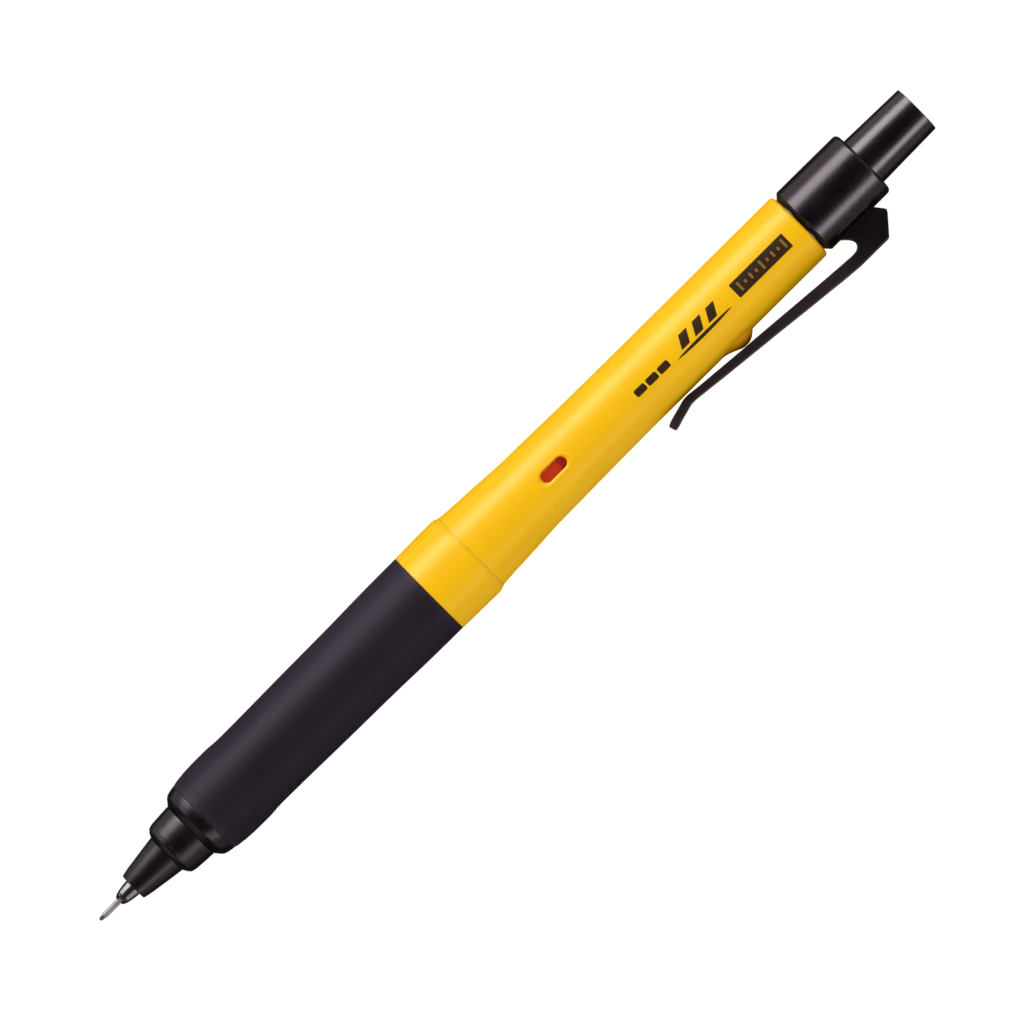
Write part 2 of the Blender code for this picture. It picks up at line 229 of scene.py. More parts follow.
def me_volume(me):
    bm = bmesh.new()
    bm.from_mesh(me)
    v = bm.calc_volume(signed=True)
    bm.free()
    return v


def applied(ob):
    """The object with its modifiers made real."""
    dg = bpy.context.evaluated_depsgraph_get()
    me = bpy.data.meshes.new_from_object(ob.evaluated_get(dg))
    ob.modifiers.clear()
    ob.data = me
    return ob


def cut(ob, cutter, operation="DIFFERENCE"):
    m = ob.modifiers.new("cut", "BOOLEAN")
    m.object = cutter
    m.operation = operation
    m.solver = "EXACT"
    applied(ob)
    bpy.data.objects.remove(cutter, do_unlink=True)
    return ob


def turned_normals(ob, curve, tol=0.02):
    """True normals of the turned skin on every face that lies on it, so that cutting a hole
    in the skin leaves no shading marks round the hole. curve(s) is the skin's radius."""
    me = ob.data
    me.shade_smooth()
    me.set_sharp_from_angle(angle=math.radians(30))
    normals = [c.vector.copy() for c in me.corner_normals]
    for poly in me.polygons:
        on = True
        true = []
        for li in poly.loop_indices:
            p = me.vertices[me.loops[li].vertex_index].co
            s = (p.x - X0) / MM
            dy, dz = (p.y - AY) / MM, (p.z - AZ) / MM
            r = math.hypot(dy, dz)
            want = curve(s)
            if want is None or abs(r - want) > tol:
                on = False
                break
            e = 0.05
            c0, c1 = curve(s - e), curve(s + e)
            if c0 is None or c1 is None:
                on = False
                break
            slope = (c1 - c0) / (2 * e)
            true.append(Vector((-slope, dy / r, dz / r)).normalized())
        if on and poly.normal.dot(true[0]) > 0.9:
            for li, nrm in zip(poly.loop_indices, true):
                normals[li] = nrm
    me.normals_split_custom_set(normals)
    return ob


def tube_along(name, points, radius, sides=12, closed_ends=True):
    """A round wire through the points, as a mesh, with parallel-carried sections."""
    pts = [Vector(p) for p in points]
    bm = bmesh.new()
    t0 = (pts[1] - pts[0]).normalized()
    ref = t0.orthogonal().normalized()
    rings = []
    for i, p in enumerate(pts):
        if i == 0:
            t = t0
        elif i == len(pts) - 1:
            t = (pts[-1] - pts[-2]).normalized()
        else:
            t = (pts[i + 1] - pts[i - 1]).normalized()
        ref = (ref - t * ref.dot(t)).normalized()
        side = t.cross(ref)
        rings.append(
            [
                bm.verts.new(p + (ref * math.cos(math.tau * k / sides) + side * math.sin(math.tau * k / sides)) * radius)
                for k in range(sides)
            ]
        )
    for a, b in zip(rings, rings[1:]):
        for k in range(sides):
            j = (k + 1) % sides
            bm.faces.new((a[k], a[j], b[j], b[k]))
    if closed_ends:
        bm.faces.new(list(reversed(rings[0])))
        bm.faces.new(rings[-1])
    bmesh.ops.recalc_face_normals(bm, faces=bm.faces)
    me = bpy.data.meshes.new(name)
    bm.to_mesh(me)
    bm.free()
    return link(name, me)


def on_barrel(name, outline, curve, lift=0.012, thick=0.02, cell=0.18):
    """A thin film of ink on the barrel: the area inside an (s, d) outline, wrapped round it.
    It is a grid cut to the outline and pushed out to the skin."""
    cu = bpy.data.curves.new(name, "CURVE")
    cu.dimensions = "2D"
    cu.fill_mode = "BOTH"
    sp = cu.splines.new("POLY")
    sp.points.add(len(outline) - 1)
    for p, (s, a) in zip(sp.points, outline):
        p.co = (s, a, 0.0, 1.0)
    sp.use_cyclic_u = True
    cu.extrude = 0.5
    ob = link(name, cu)
    dg = bpy.context.evaluated_depsgraph_get()
    me = bpy.data.meshes.new_from_object(ob.evaluated_get(dg))
    bpy.data.objects.remove(ob, do_unlink=True)
    bm = bmesh.new()
    bm.from_mesh(me)
    bmesh.ops.remove_doubles(bm, verts=bm.verts, dist=1e-5)
    for axis, lo, hi in ((0, min(p[0] for p in outline), max(p[0] for p in outline)),
                         (1, min(p[1] for p in outline), max(p[1] for p in outline))):
        k = int((hi - lo) / cell)
        for i in range(1, k + 1):
            co = [0.0, 0.0, 0.0]
            co[axis] = lo + (hi - lo) * i / (k + 1)
            no = [0.0, 0.0, 0.0]
            no[axis] = 1.0
            bmesh.ops.bisect_plane(bm, geom=bm.verts[:] + bm.edges[:] + bm.faces[:],
                                   plane_co=co, plane_no=no)
    for v in bm.verts:
        s, arc_len, side = v.co.x, v.co.y, v.co.z
        r0 = curve(s)
        ang = arc_len / r0          # 0 is the side that faces up, + towards the clip
        r = r0 + (lift if side > 0 else lift - thick)
        v.co = at(s, r * math.sin(ang), r * math.cos(ang))
    bmesh.ops.recalc_face_normals(bm, faces=bm.faces)
    bm.to_mesh(me)
    bm.free()
    if me_volume(me) < 0:
        me.flip_normals()
    ob = link(name, me)
    me.shade_smooth()
    me.set_sharp_from_angle(angle=math.radians(40))
    return ob


def round_rect(s0, s1, a0, a1, r, n=4):
    pts = []
    for cs, ca, start in ((s1 - r, a1 - r, 0), (s0 + r, a1 - r, 90), (s0 + r, a0 + r, 180), (s1 - r, a0 + r, 270)):
        for k in range(n + 1):
            t = math.radians(start + 90 * k / n)
            pts.append((cs + r * math.cos(t), ca + r * math.sin(t)))
    return pts


# =====================================================================================
# material helpers
# =====================================================================================
class Mat:
    """A small builder for node materials. Coordinates are millimetres along the pencil (s),
    radians round it (turn) and millimetres from its axis (r), all from the object's own
    coordinates."""

    def __init__(self, name, **sockets):
        self.m = bpy.data.materials.new(name)
        self.m.use_nodes = True
        self.nt = self.m.node_tree
        self.b = self.nt.nodes["Principled BSDF"]
        for k, v in sockets.items():
            k = k.replace("_", " ")
            names = {i.name.lower(): i for i in self.b.inputs}
            sock = names[k]
            sock.default_value = (*v, 1.0) if isinstance(v, tuple) and len(v) == 3 and sock.type == "RGBA" else v
        self._c = {}

    def node(self, kind, **props):
        n = self.nt.nodes.new(kind)
        for k, v in props.items():
            setattr(n, k, v)
        return n

    def wire(self, a, b):
        self.nt.links.new(a, b)

    def coord(self):
        if "o" not in self._c:
            self._c["o"] = self.node("ShaderNodeTexCoord").outputs["Object"]
        return self._c["o"]

    def math(self, op, a, b=None, c=None, clamp=False):
        n = self.node("ShaderNodeMath", operation=op, use_clamp=clamp)
        for i, v in enumerate((a, b, c)):
            if v is None:
                continue
            if hasattr(v, "is_output"):
                self.wire(v, n.inputs[i])
            else:
                n.inputs[i].default_value = v
        return n.outputs[0]

    def cyl(self):
        """s in mm, turn in radians, r in mm."""
        if "cyl" not in self._c:
            sep = self.node("ShaderNodeSeparateXYZ")
            self.wire(self.coord(), sep.inputs[0])
            s = self.math("MULTIPLY", self.math("SUBTRACT", sep.outputs[0], X0), 1000.0)
            y = self.math("MULTIPLY", self.math("SUBTRACT", sep.outputs[1], AY), 1000.0)
            z = self.math("MULTIPLY", self.math("SUBTRACT", sep.outputs[2], AZ), 1000.0)
            turn = self.math("ARCTAN2", y, z)
            r = self.math("SQRT", self.math("ADD", self.math("MULTIPLY", y, y), self.math("MULTIPLY", z, z)))
            self._c["cyl"] = (s, turn, r)
        return self._c["cyl"]

    def combine(self, x, y, z):
        n = self.node("ShaderNodeCombineXYZ")
        for i, v in enumerate((x, y, z)):
            if hasattr(v, "is_output"):
                self.wire(v, n.inputs[i])
            else:
                n.inputs[i].default_value = v
        return n.outputs[0]

    def noise(self, scale_mm, detail=3.0, rough=0.5, stretch=(1, 1, 1), distortion=0.0, vec=None):
        """Noise with features about scale_mm across. stretch > 1 lengthens them on an axis."""
        mp = self.node("ShaderNodeMapping")
        self.wire(vec or self.coord(), mp.inputs["Vector"])
        f = 1000.0 / scale_mm if vec is None else 1.0 / scale_mm
        mp.inputs["Scale"].default_value = [f / k for k in stretch]
        n = self.node("ShaderNodeTexNoise")
        self.wire(mp.outputs[0], n.inputs["Vector"])
        n.inputs["Scale"].default_value = 1.0
        n.inputs["Detail"].default_value = detail
        n.inputs["Roughness"].default_value = rough
        n.inputs["Distortion"].default_value = distortion
        return n.outputs["Fac"]

    def cells(self, scale_mm, feature="F1", randomness=1.0, vec=None):
        mp = self.node("ShaderNodeMapping")
        self.wire(vec or self.coord(), mp.inputs["Vector"])
        f = 1000.0 / scale_mm if vec is None else 1.0 / scale_mm
        mp.inputs["Scale"].default_value = [f, f, f]
        n = self.node("ShaderNodeTexVoronoi", feature=feature)
        self.wire(mp.outputs[0], n.inputs["Vector"])
        n.inputs["Scale"].default_value = 1.0
        n.inputs["Randomness"].default_value = randomness
        return n

    def remap(self, v, a, b, c, d, smooth=False):
        n = self.node("ShaderNodeMapRange")
        n.interpolation_type = "SMOOTHSTEP" if smooth else "LINEAR"
        self.wire(v, n.inputs["Value"])
        for k, x in zip(("From Min", "From Max", "To Min", "To Max"), (a, b, c, d)):
            n.inputs[k].default_value = x
        return n.outputs["Result"]

    def mix(self, fac, a, b, blend="MIX"):
        n = self.node("ShaderNodeMix", data_type="RGBA", blend_type=blend)
        for sock, v in ((n.inputs[0], fac), (n.inputs[6], a), (n.inputs[7], b)):
            if hasattr(v, "is_output"):
                self.wire(v, sock)
            elif isinstance(v, tuple):
                sock.default_value = (*v, 1.0)
            else:
                sock.default_value = v
        return n.outputs[2]

    def bump(self, height, strength, distance_mm, normal=None):
        n = self.node("ShaderNodeBump")
        n.inputs["Strength"].default_value = strength
        n.inputs["Distance"].default_value = distance_mm * MM
        self.wire(height, n.inputs["Height"])
        if normal is not None:
            self.wire(normal, n.inputs["Normal"])
        return n.outputs[0]

    def near(self, v, centre, width):
        """1 at centre, falling smoothly to 0 at width away."""
        d = self.math("ABSOLUTE", self.math("SUBTRACT", v, centre))
        return self.remap(d, 0.0, width, 1.0, 0.0, True)

    def put(self, sock, v):
        self.wire(v, self.b.inputs[sock])


def srgb(r, g, b):
    """sRGB 0 to 255 to linear."""
    f = lambda c: c / 12.92 if c <= 0.04045 else ((c + 0.055) / 1.055) ** 2.4
    return tuple(f(x / 255) for x in (r, g, b))


def give(ob, mat):
    ob.data.materials.clear()
    ob.data.materials.append(mat.m if isinstance(mat, Mat) else mat)
    return ob


# ------------------------------------------------------------------ yellow barrel plastic
def yellow_plastic(name, seams, crown_shade_radii=None, grimy=0.45, shade_tint=None):
    k = Mat(name, roughness=0.36, ior=1.5, subsurface_weight=0.12, subsurface_radius=(1.0, 0.45, 0.08),
            subsurface_scale=0.0006)
    k.b.inputs["Specular IOR Level"].default_value = 0.12
    s, turn, r = k.cyl()
    cloud = k.noise(9.0, 3.0, 0.55)
    base = k.mix(k.remap(cloud, 0.3, 0.7, 0.0, 1.0), srgb(250, 190, 6), srgb(252, 196, 9))
    # pigment specks, a little deeper than the rest
    speck = k.cells(0.32)
    base = k.mix(k.remap(speck.outputs["Distance"], 0.05, 0.16, 0.10, 0.0), base, srgb(206, 140, 4))
    # handling dulls it slightly in soft patches
    hand = k.noise(16.0, 4.0, 0.6, (2.2, 1, 1))
    base = k.mix(k.remap(hand, 0.52, 0.78, 0.0, 0.10, True), base, srgb(240, 178, 12))
    # dirt lies in the seams
    grime = None
    for c, w in seams:
        g = k.near(s, c, w)
        grime = g if grime is None else k.math("MAXIMUM", grime, g)
    broken = k.remap(k.noise(0.7, 4.0, 0.65), 0.3, 0.7, 0.35, 1.0)
    grime = k.math("MULTIPLY", grime, broken)
    base = k.mix(k.math("MULTIPLY", grime, grimy), base, srgb(150, 92, 6))
    # painted shade: when given, the whole part is mixed towards a deeper orange that stands in for the shadow it lies
    # in
    if shade_tint:
        base = k.mix(0.75, base, srgb(*shade_tint))
    if crown_shade_radii:
        # painted shade: towards the crown, in the clip's shadow, the colour is darkened to brown
        crown_shade = k.math("MULTIPLY", k.remap(r, crown_shade_radii[0], crown_shade_radii[1], 0.0, 1.0, True), k.remap(hand, 0.3, 0.7, 0.75, 1.0))
        base = k.mix(k.math("MULTIPLY", crown_shade, 0.8), base, srgb(138, 78, 6))
    k.put("Base Color", base)
    # fine rubbed hairlines along the barrel, and a moulded orange peel
    hair = k.noise(0.06, 2.0, 0.5, (60, 1, 1))
    rough = k.math("ADD", k.remap(hand, 0.35, 0.75, 0.24, 0.31), k.remap(hair, 0.55, 0.75, 0.0, 0.04))
    k.put("Roughness", rough)
    peel = k.noise(0.55, 2.0, 0.5)
    n1 = k.bump(peel, 0.22, 0.006)
    k.put("Normal", k.bump(hair, 0.10, 0.003, n1))
    return k


# ------------------------------------------------------------------ gloss black plastic
def black_plastic(name, low, high, tint=(9, 6, 9), edges=(), shine=0.5, turned=0.0, root=None):
    k = Mat(name, roughness=low, ior=1.52)
    k.b.inputs["Specular IOR Level"].default_value = shine
    s, turn, r = k.cyl()
    cloud = k.noise(5.0, 4.0, 0.6)
    base = k.mix(k.remap(cloud, 0.35, 0.7, 0.0, 1.0), srgb(*tint), srgb(tint[0] + 6, tint[1] + 3, tint[2] + 5))
    # fine lint and dust
    lint = k.cells(0.9)
    base = k.mix(k.remap(lint.outputs["Distance"], 0.015, 0.05, 0.22, 0.0), base, srgb(58, 50, 54))
    wear = None
    for c, w in edges:
        g = k.near(s, c, w)
        wear = g if wear is None else k.math("MAXIMUM", wear, g)
    if wear is not None:
        patchy = k.remap(k.noise(0.8, 5.0, 0.7), 0.45, 0.72, 0.0, 1.0, True)
        wear = k.math("MULTIPLY", wear, patchy)
        base = k.mix(k.math("MULTIPLY", wear, 0.5), base, srgb(58, 52, 54))
    if root:
        # the block at the root is made darker than the arm
        base = k.mix(k.remap(s, root[0], root[1], 0.0, 1.0, True), base, srgb(9, 3, 6))
    k.put("Base Color", base)
    scratch = k.noise(0.05, 2.0, 0.5, (40, 1, 1))
    rough = k.math("ADD", k.remap(cloud, 0.3, 0.75, low, high), k.remap(scratch, 0.6, 0.8, 0.0, 0.035))
    if wear is not None:
        rough = k.math("ADD", rough, k.math("MULTIPLY", wear, 0.15))
    k.put("Roughness", rough)
    peel = k.noise(0.7, 2.0, 0.5)
    n1 = k.bump(peel, 0.25, 0.006)
    if turned:
        rings = k.noise(1.0, 3.0, 0.6, (1, 1, 1), vec=k.combine(k.math("MULTIPLY", s, 14.0), k.math("MULTIPLY", turn, 0.6), 0.0))
        n1 = k.bump(rings, turned, 0.004, n1)
    k.put("Normal", k.bump(scratch, 0.02, 0.003, n1))
    return k


# ------------------------------------------------------------------ soft gel grip
def gel_material():
    k = Mat("charcoal_gel", roughness=0.5, ior=1.42, sheen_weight=0.02, sheen_roughness=0.45,
            sheen_tint=srgb(170, 160, 190), subsurface_weight=0.10, subsurface_radius=(0.9, 0.7, 0.9),
            subsurface_scale=0.0008)
    k.b.inputs["Specular IOR Level"].default_value = 0.08
    s, turn, r = k.cyl()
    cloud = k.noise(7.0, 4.0, 0.55, (1.8, 1, 1))
    base = k.mix(k.remap(cloud, 0.3, 0.72, 0.0, 1.0), srgb(33, 24, 36), srgb(39, 30, 43))
    dust = k.cells(0.55)
    base = k.mix(k.remap(dust.outputs["Distance"], 0.02, 0.07, 0.30, 0.0), base, srgb(92, 86, 94))
    # grey bloom where dust gathers at the two ends
    ends = k.math("MAXIMUM", k.near(s, 18.6, 1.3), k.near(s, 58.4, 0.9))
    patchy = k.remap(k.noise(0.5, 5.0, 0.7), 0.4, 0.7, 0.0, 1.0)
    base = k.mix(k.math("MULTIPLY", k.math("MULTIPLY", ends, patchy), 0.25), base, srgb(84, 78, 84))
    k.put("Base Color", base)
    # the middle, where it is held, is smoother than the ends
    held = k.math("MULTIPLY", k.near(s, 31.0, 15.0), k.remap(cloud, 0.35, 0.7, 0.4, 1.0))
    grain = k.noise(0.10, 3.0, 0.6)
    rough = k.math("SUBTRACT", k.remap(grain, 0.3, 0.7, 0.44, 0.52), k.math("MULTIPLY", held, 0.05))
    k.put("Roughness", rough)
    soft = k.noise(2.4, 2.0, 0.5)
    n1 = k.bump(soft, 0.15, 0.02)
    k.put("Normal", k.bump(grain, 0.35, 0.006, n1))
    return k


# ------------------------------------------------------------------ metals
def turned_metal(name, color, dark, low, high, line_mm=0.05, strength=0.25):
    k = Mat(name, metallic=1.0, roughness=low)
    s, turn, r = k.cyl()
    v = k.combine(k.math("MULTIPLY", s, 1.0 / line_mm), k.math("MULTIPLY", turn, 0.7), r)
    lines = k.noise(1.0, 3.0, 0.6, vec=v)
    stain = k.noise(1.8, 4.0, 0.6)
    base = k.mix(k.remap(stain, 0.35, 0.75, 0.0, 1.0), color, dark)
    base = k.mix(k.remap(lines, 0.3, 0.7, 0.12, 0.0), base, dark)
    k.put("Base Color", base)
    k.put("Roughness", k.math("ADD", k.remap(lines, 0.3, 0.7, low, high), k.remap(stain, 0.5, 0.8, 0.0, 0.08)))
    k.put("Normal", k.bump(lines, strength, 0.003))
    return k


def wire_metal(name, color, dark):
    k = Mat(name, metallic=1.0, roughness=0.28)
    stain = k.noise(0.8, 4.0, 0.6)
    k.put("Base Color", k.mix(k.remap(stain, 0.35, 0.7, 0.0, 1.0), color, dark))
    k.put("Roughness", k.remap(stain, 0.3, 0.75, 0.22, 0.38))
    k.put("Normal", k.bump(k.noise(0.05, 2.0, 0.5), 0.2, 0.003))
    return k


# ------------------------------------------------------------------ plain moulded parts
def moulded(name, a, b, low, high, grain_mm=0.25, sub=0.0, speck=None):
    k = Mat(name, roughness=low, ior=1.48)
    if sub:
        k.b.inputs["Subsurface Weight"].default_value = sub
        k.b.inputs["Subsurface Radius"].default_value = (1.0, 0.8, 0.6)
        k.b.inputs["Subsurface Scale"].default_value = 0.0008
    cloud = k.noise(3.0, 4.0, 0.6)
    base = k.mix(k.remap(cloud, 0.3, 0.72, 0.0, 1.0), a, b)
    if speck:
        base = k.mix(k.remap(k.cells(0.4).outputs["Distance"], 0.03, 0.12, 0.4, 0.0), base, speck)
    k.put("Base Color", base)
    grain = k.noise(grain_mm, 3.0, 0.55)
    k.put("Roughness", k.remap(grain, 0.3, 0.7, low, high))
    k.put("Normal", k.bump(grain, 0.3, 0.008))
    return k


def clear_plastic(name, tint, shaded):
    """Clear plastic: what is behind shows through its tint, and its skin mirrors by Fresnel."""
    k = Mat(name)
    out = next(n for n in k.nt.nodes if n.type == "OUTPUT_MATERIAL")
    k.nt.nodes.remove(k.b)
    swirl = k.noise(1.6, 3.0, 0.5)
    through = k.node("ShaderNodeBsdfTransparent")
    k.wire(k.mix(k.remap(swirl, 0.3, 0.7, 0.0, 1.0), tint, shaded), through.inputs["Color"])
    shine = k.node("ShaderNodeBsdfGlossy")
    shine.inputs["Color"].default_value = (1.0, 1.0, 1.0, 1.0)
    k.wire(k.remap(swirl, 0.3, 0.75, 0.06, 0.16), shine.inputs["Roughness"])
    bump = k.bump(swirl, 0.15, 0.01)
    k.wire(bump, shine.inputs["Normal"])
    edge = k.node("ShaderNodeFresnel")
    edge.inputs["IOR"].default_value = 1.49
    mix = k.node("ShaderNodeMixShader")
    k.wire(edge.outputs[0], mix.inputs[0])
    k.wire(through.outputs[0], mix.inputs[1])
    k.wire(shine.outputs[0], mix.inputs[2])
    k.wire(mix.outputs[0], out.inputs["Surface"])
    return k


def rotor_material():
    """Red-orange plastic at the front and a deeper red behind the step, the deeper red being painted shade, with small
    dark marks that show that it has turned."""
    k = Mat("rotor_red", roughness=0.36, ior=1.5, subsurface_weight=0.10,
            subsurface_radius=(1.0, 0.25, 0.1), subsurface_scale=0.0005)
    k.b.inputs["Specular IOR Level"].default_value = 0.12
    s, turn, r = k.cyl()
    cloud = k.noise(0.9, 4.0, 0.6)
    front = k.mix(k.remap(cloud, 0.3, 0.7, 0.0, 1.0), srgb(218, 54, 6), srgb(230, 66, 9))
    # painted shade: the darker red used behind the step
    back = k.mix(k.remap(cloud, 0.3, 0.7, 0.0, 1.0), srgb(178, 22, 8), srgb(192, 30, 12))
    edge = k.math("ADD", s, k.remap(cloud, 0.3, 0.7, -0.18, 0.18))
    base = k.mix(k.remap(edge, 81.2, 81.55, 0.0, 1.0, True), front, back)
    # a dot every 36 degrees near the rear edge
    wrap = k.math("PINGPONG", k.math("ADD", turn, math.pi), math.radians(18))
    arc_mm = k.math("MULTIPLY", wrap, 3.6)
    ds = k.math("SUBTRACT", s, 82.05)
    dist = k.math("SQRT", k.math("ADD", k.math("MULTIPLY", ds, ds), k.math("MULTIPLY", arc_mm, arc_mm)))
    base = k.mix(k.remap(dist, 0.08, 0.13, 1.0, 0.0, True), base, srgb(30, 10, 8))
    k.put("Base Color", base)
    k.put("Roughness", k.remap(cloud, 0.3, 0.7, 0.30, 0.42))
    k.put("Normal", k.bump(k.noise(0.2, 3.0, 0.5), 0.25, 0.006))
    return k


def ink_material(name, a, b):
    k = Mat(name, roughness=0.42, ior=1.48)
    k.b.inputs["Specular IOR Level"].default_value = 0.14
    thin = k.noise(0.22, 4.0, 0.65)
    k.put("Base Color", k.mix(k.remap(thin, 0.35, 0.72, 0.0, 1.0), a, b))
    k.put("Roughness", k.remap(thin, 0.3, 0.7, 0.36, 0.52))
    k.put("Normal", k.bump(thin, 0.25, 0.004))
    return k


def floor_material():
    k = Mat("studio_floor", roughness=0.9, ior=1.4)
    k.b.inputs["Specular IOR Level"].default_value = 0.0
    cloud = k.noise(60.0, 3.0, 0.5)
    k.put("Base Color", k.mix(k.remap(cloud, 0.3, 0.7, 0.0, 1.0), (0.955, 0.955, 0.955), (0.965, 0.965, 0.965)))
    return k


M = {
    "barrel": yellow_plastic("barrel_yellow", [(65.86, 0.25), (124.25, 0.25)], grimy=0.30),
    # the ridge's deeper orange and its brown crown are painted shade from the clip above it
    "ridge": yellow_plastic("ridge_yellow", [(105.7, 0.2), (110.8, 0.15)], (5.05, 6.0), shade_tint=(222, 142, 2)),
    "ring": yellow_plastic("ring_yellow", [(58.45, 0.2), (65.85, 0.25)], grimy=0.25),
    "nose": black_plastic("nose_black", 0.31, 0.39, (8, 2, 5), [(5.9, 0.25), (12.9, 0.3), (15.9, 0.25)], 0.20, turned=0.12),
    "front_ring": black_plastic("front_ring_black", 0.28, 0.34, (7, 1, 4), [(18.4, 0.2)], 0.19),
    "collar": black_plastic("collar_black", 0.25, 0.31, (6, 1, 4), [(124.9, 0.35), (135.2, 0.35)], 0.25),
    "clip": black_plastic("clip_black", 0.28, 0.38, (34, 23, 28), [(95.0, 0.8)], 0.24, root=(122.5, 128.0)),
    "cap": black_plastic("cap_black", 0.24, 0.30, (6, 1, 4), [(144.9, 0.25)], 0.33),
    "gel": gel_material(),
    "steel": turned_metal("tip_steel", srgb(176, 170, 170), srgb(112, 104, 104), 0.16, 0.28),
    "pipe": turned_metal("pipe_steel", srgb(196, 188, 191), srgb(150, 142, 146), 0.34, 0.46, 0.08),
    "brass": turned_metal("turned_brass", srgb(224, 190, 112), srgb(160, 120, 58), 0.20, 0.34),
    "spring": wire_metal("spring_wire", srgb(176, 176, 180), srgb(120, 120, 126)),
    "graphite": moulded("graphite", srgb(58, 57, 60), srgb(78, 77, 81), 0.34, 0.50, 0.08),
    "rubber": moulded("seal_rubber", srgb(34, 33, 33), srgb(48, 46, 46), 0.6, 0.8, 0.12),
    "grey": moulded("tube_grey", srgb(96, 98, 102), srgb(118, 120, 124), 0.38, 0.5),
    "magazine": moulded("magazine_white", srgb(206, 206, 202), srgb(222, 222, 218), 0.30, 0.42, 0.3, 0.15),
    "natural": moulded("acetal_natural", srgb(224, 221, 210), srgb(236, 233, 224), 0.34, 0.46, 0.25, 0.15),
    "eraser": moulded("eraser_vinyl", srgb(232, 231, 228), srgb(244, 243, 240), 0.62, 0.78, 0.18, 0.15, srgb(150, 148, 146)),
    "lens": clear_plastic("lens_clear", (0.97, 0.96, 0.95), (0.92, 0.91, 0.90)),
    "case": clear_plastic("case_clear", (0.94, 0.94, 0.93), (0.88, 0.88, 0.87)),
    "rotor": rotor_material(),
    "ink": ink_material("brown_ink", srgb(48, 26, 10), srgb(62, 38, 14)),
    "ink_light": ink_material("tan_ink", srgb(126, 94, 40), srgb(146, 112, 52)),
    "floor": floor_material(),
}

# =====================================================================================
# outer pieces
# =====================================================================================
# ------------------------------------------------------------------ rear barrel
BARREL_PTS = [
    (65.92, 5.86), (66.8, 5.80), (67.8, 5.73), (68.5, 5.68), (69.8, 5.63), (71.0, 5.57), (72.6, 5.49),
    (74.1, 5.39), (75.6, 5.31), (77.2, 5.27), (80.0, 5.235), (84.7, 5.15), (89.0, 5.10), (93.0, 5.07),
    (100.0, 5.055), (124.2, 5.05),
]


_S = np.linspace(65.92, 124.2, 2400)
_R = np.array(pchip(BARREL_PTS, _S))


def barrel_r(s):
    if s < 66.25 or s > 123.38:
        return None
    return float(np.interp(s, _S, _R))


WINDOW = (4.10, 1.64)          # length and width of the slot


def build_barrel():
    outer = skin(BARREL_PTS, 66.22, 123.4, 96)
    front = rounded([(66.22, outer[0][1]), (65.76, 5.875, 0.04), (65.76, 5.5)], 3, False)
    back = [(123.4, 5.05)]
    back += [(123.78 + 0.46 * math.sin(math.pi * i / 18), 4.47 + 0.58 * math.cos(math.pi * i / 18)) for i in range(10)]
    back += [(124.24, 4.30)]
    loop = list(reversed(front)) + outer[1:-1] + back + [(124.2, 4.20), (124.1, 4.15), (66.3, 4.40), (65.76, 4.46)]
    ob = lathe("barrel_shell", loop, 160)
    # window: a pill-shaped slot whose rim is chamfered
    bm = bmesh.new()
    rings = []
    for grow, h in ((0.0, 3.9), (0.0, 4.97), (0.04, 5.0), (0.41, 5.22), (0.90, 5.51)):
        half = (WINDOW[0] - WINDOW[1]) / 2
        rad = WINDOW[1] / 2 + grow
        pts = []
        for side, start in ((1, -90), (-1, 90)):
            for i in range(17):
                a = math.radians(start + 180 * i / 16)
                pts.append((80.5 + side * half + rad * math.cos(a), rad * math.sin(a) + 0.35 * grow))
        rings.append([bm.verts.new(at(s, d, h)) for s, d in pts])
    for a, b in zip(rings, rings[1:]):
        for i in range(len(a)):
            j = (i + 1) % len(a)
            bm.faces.new((a[i], a[j], b[j], b[i]))
    bm.faces.new(rings[0])
    bm.faces.new(rings[-1])
    bmesh.ops.recalc_face_normals(bm, faces=bm.faces)
    me = bpy.data.meshes.new("window_cut")
    bm.to_mesh(me)
    bm.free()
    if me_volume(me) < 0:
        me.flip_normals()
    cut(ob, link("window_cut", me))
    turned_normals(ob, barrel_r)
    return ob


def build_ridge():
    """The small ridge that stands under the clip, lofted so that its ends die into the skin."""
    bm = bmesh.new()
    tops = skin([(105.5, 5.0), (106.4, 5.20), (107.3, 5.54), (108.1, 5.88), (108.6, 6.00), (109.1, 6.01),
                 (109.7, 5.88), (110.3, 5.52), (110.9, 5.0)], 105.5, 110.9, 26)
    rows = []
    for s, top in tops:
        row = []
        lift = max(0.0, top - 4.98)
        half = 0.55 + 1.05 * min(1.0, lift / 0.9) ** 0.5
        for k in range(13):
            a = -1 + 2 * k / 12
            h = a * half
            skin_d = math.sqrt(5.05 ** 2 - h * h)
            crown = (1 - abs(a) ** 3.2)
            d = skin_d - 0.06 + (lift + 0.0) * crown
            row.append(bm.verts.new(at(s, d, h)))
        rows.append(row)
    for a, b in zip(rows, rows[1:]):
        for k in range(12):
            bm.faces.new((a[k], a[k + 1], b[k + 1], b[k]))
    # close it below the skin
    under = [[bm.verts.new(at(s, 4.75, -1.2)), bm.verts.new(at(s, 4.75, 1.2))] for s, _ in tops]
    for i in range(len(rows) - 1):
        bm.faces.new((rows[i][0], rows[i + 1][0], under[i + 1][0], under[i][0]))
        bm.faces.new((rows[i + 1][12], rows[i][12], under[i][1], under[i + 1][1]))
        bm.faces.new((under[i][0], under[i + 1][0], under[i + 1][1], under[i][1]))
    for i in (0, len(rows) - 1):
        bm.faces.new(rows[i] + [under[i][1], under[i][0]])
    bmesh.ops.recalc_face_normals(bm, faces=bm.faces)
    me = bpy.data.meshes.new("clip_ridge")
    bm.to_mesh(me)
    bm.free()
    if me_volume(me) < 0:
        me.flip_normals()
    return polish(link("clip_ridge", me), 50, False)


barrel = give(build_barrel(), M["barrel"])
ridge = give(build_ridge(), M["ridge"])
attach(barrel, MAIN)
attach(ridge, MAIN)
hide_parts("barrel")

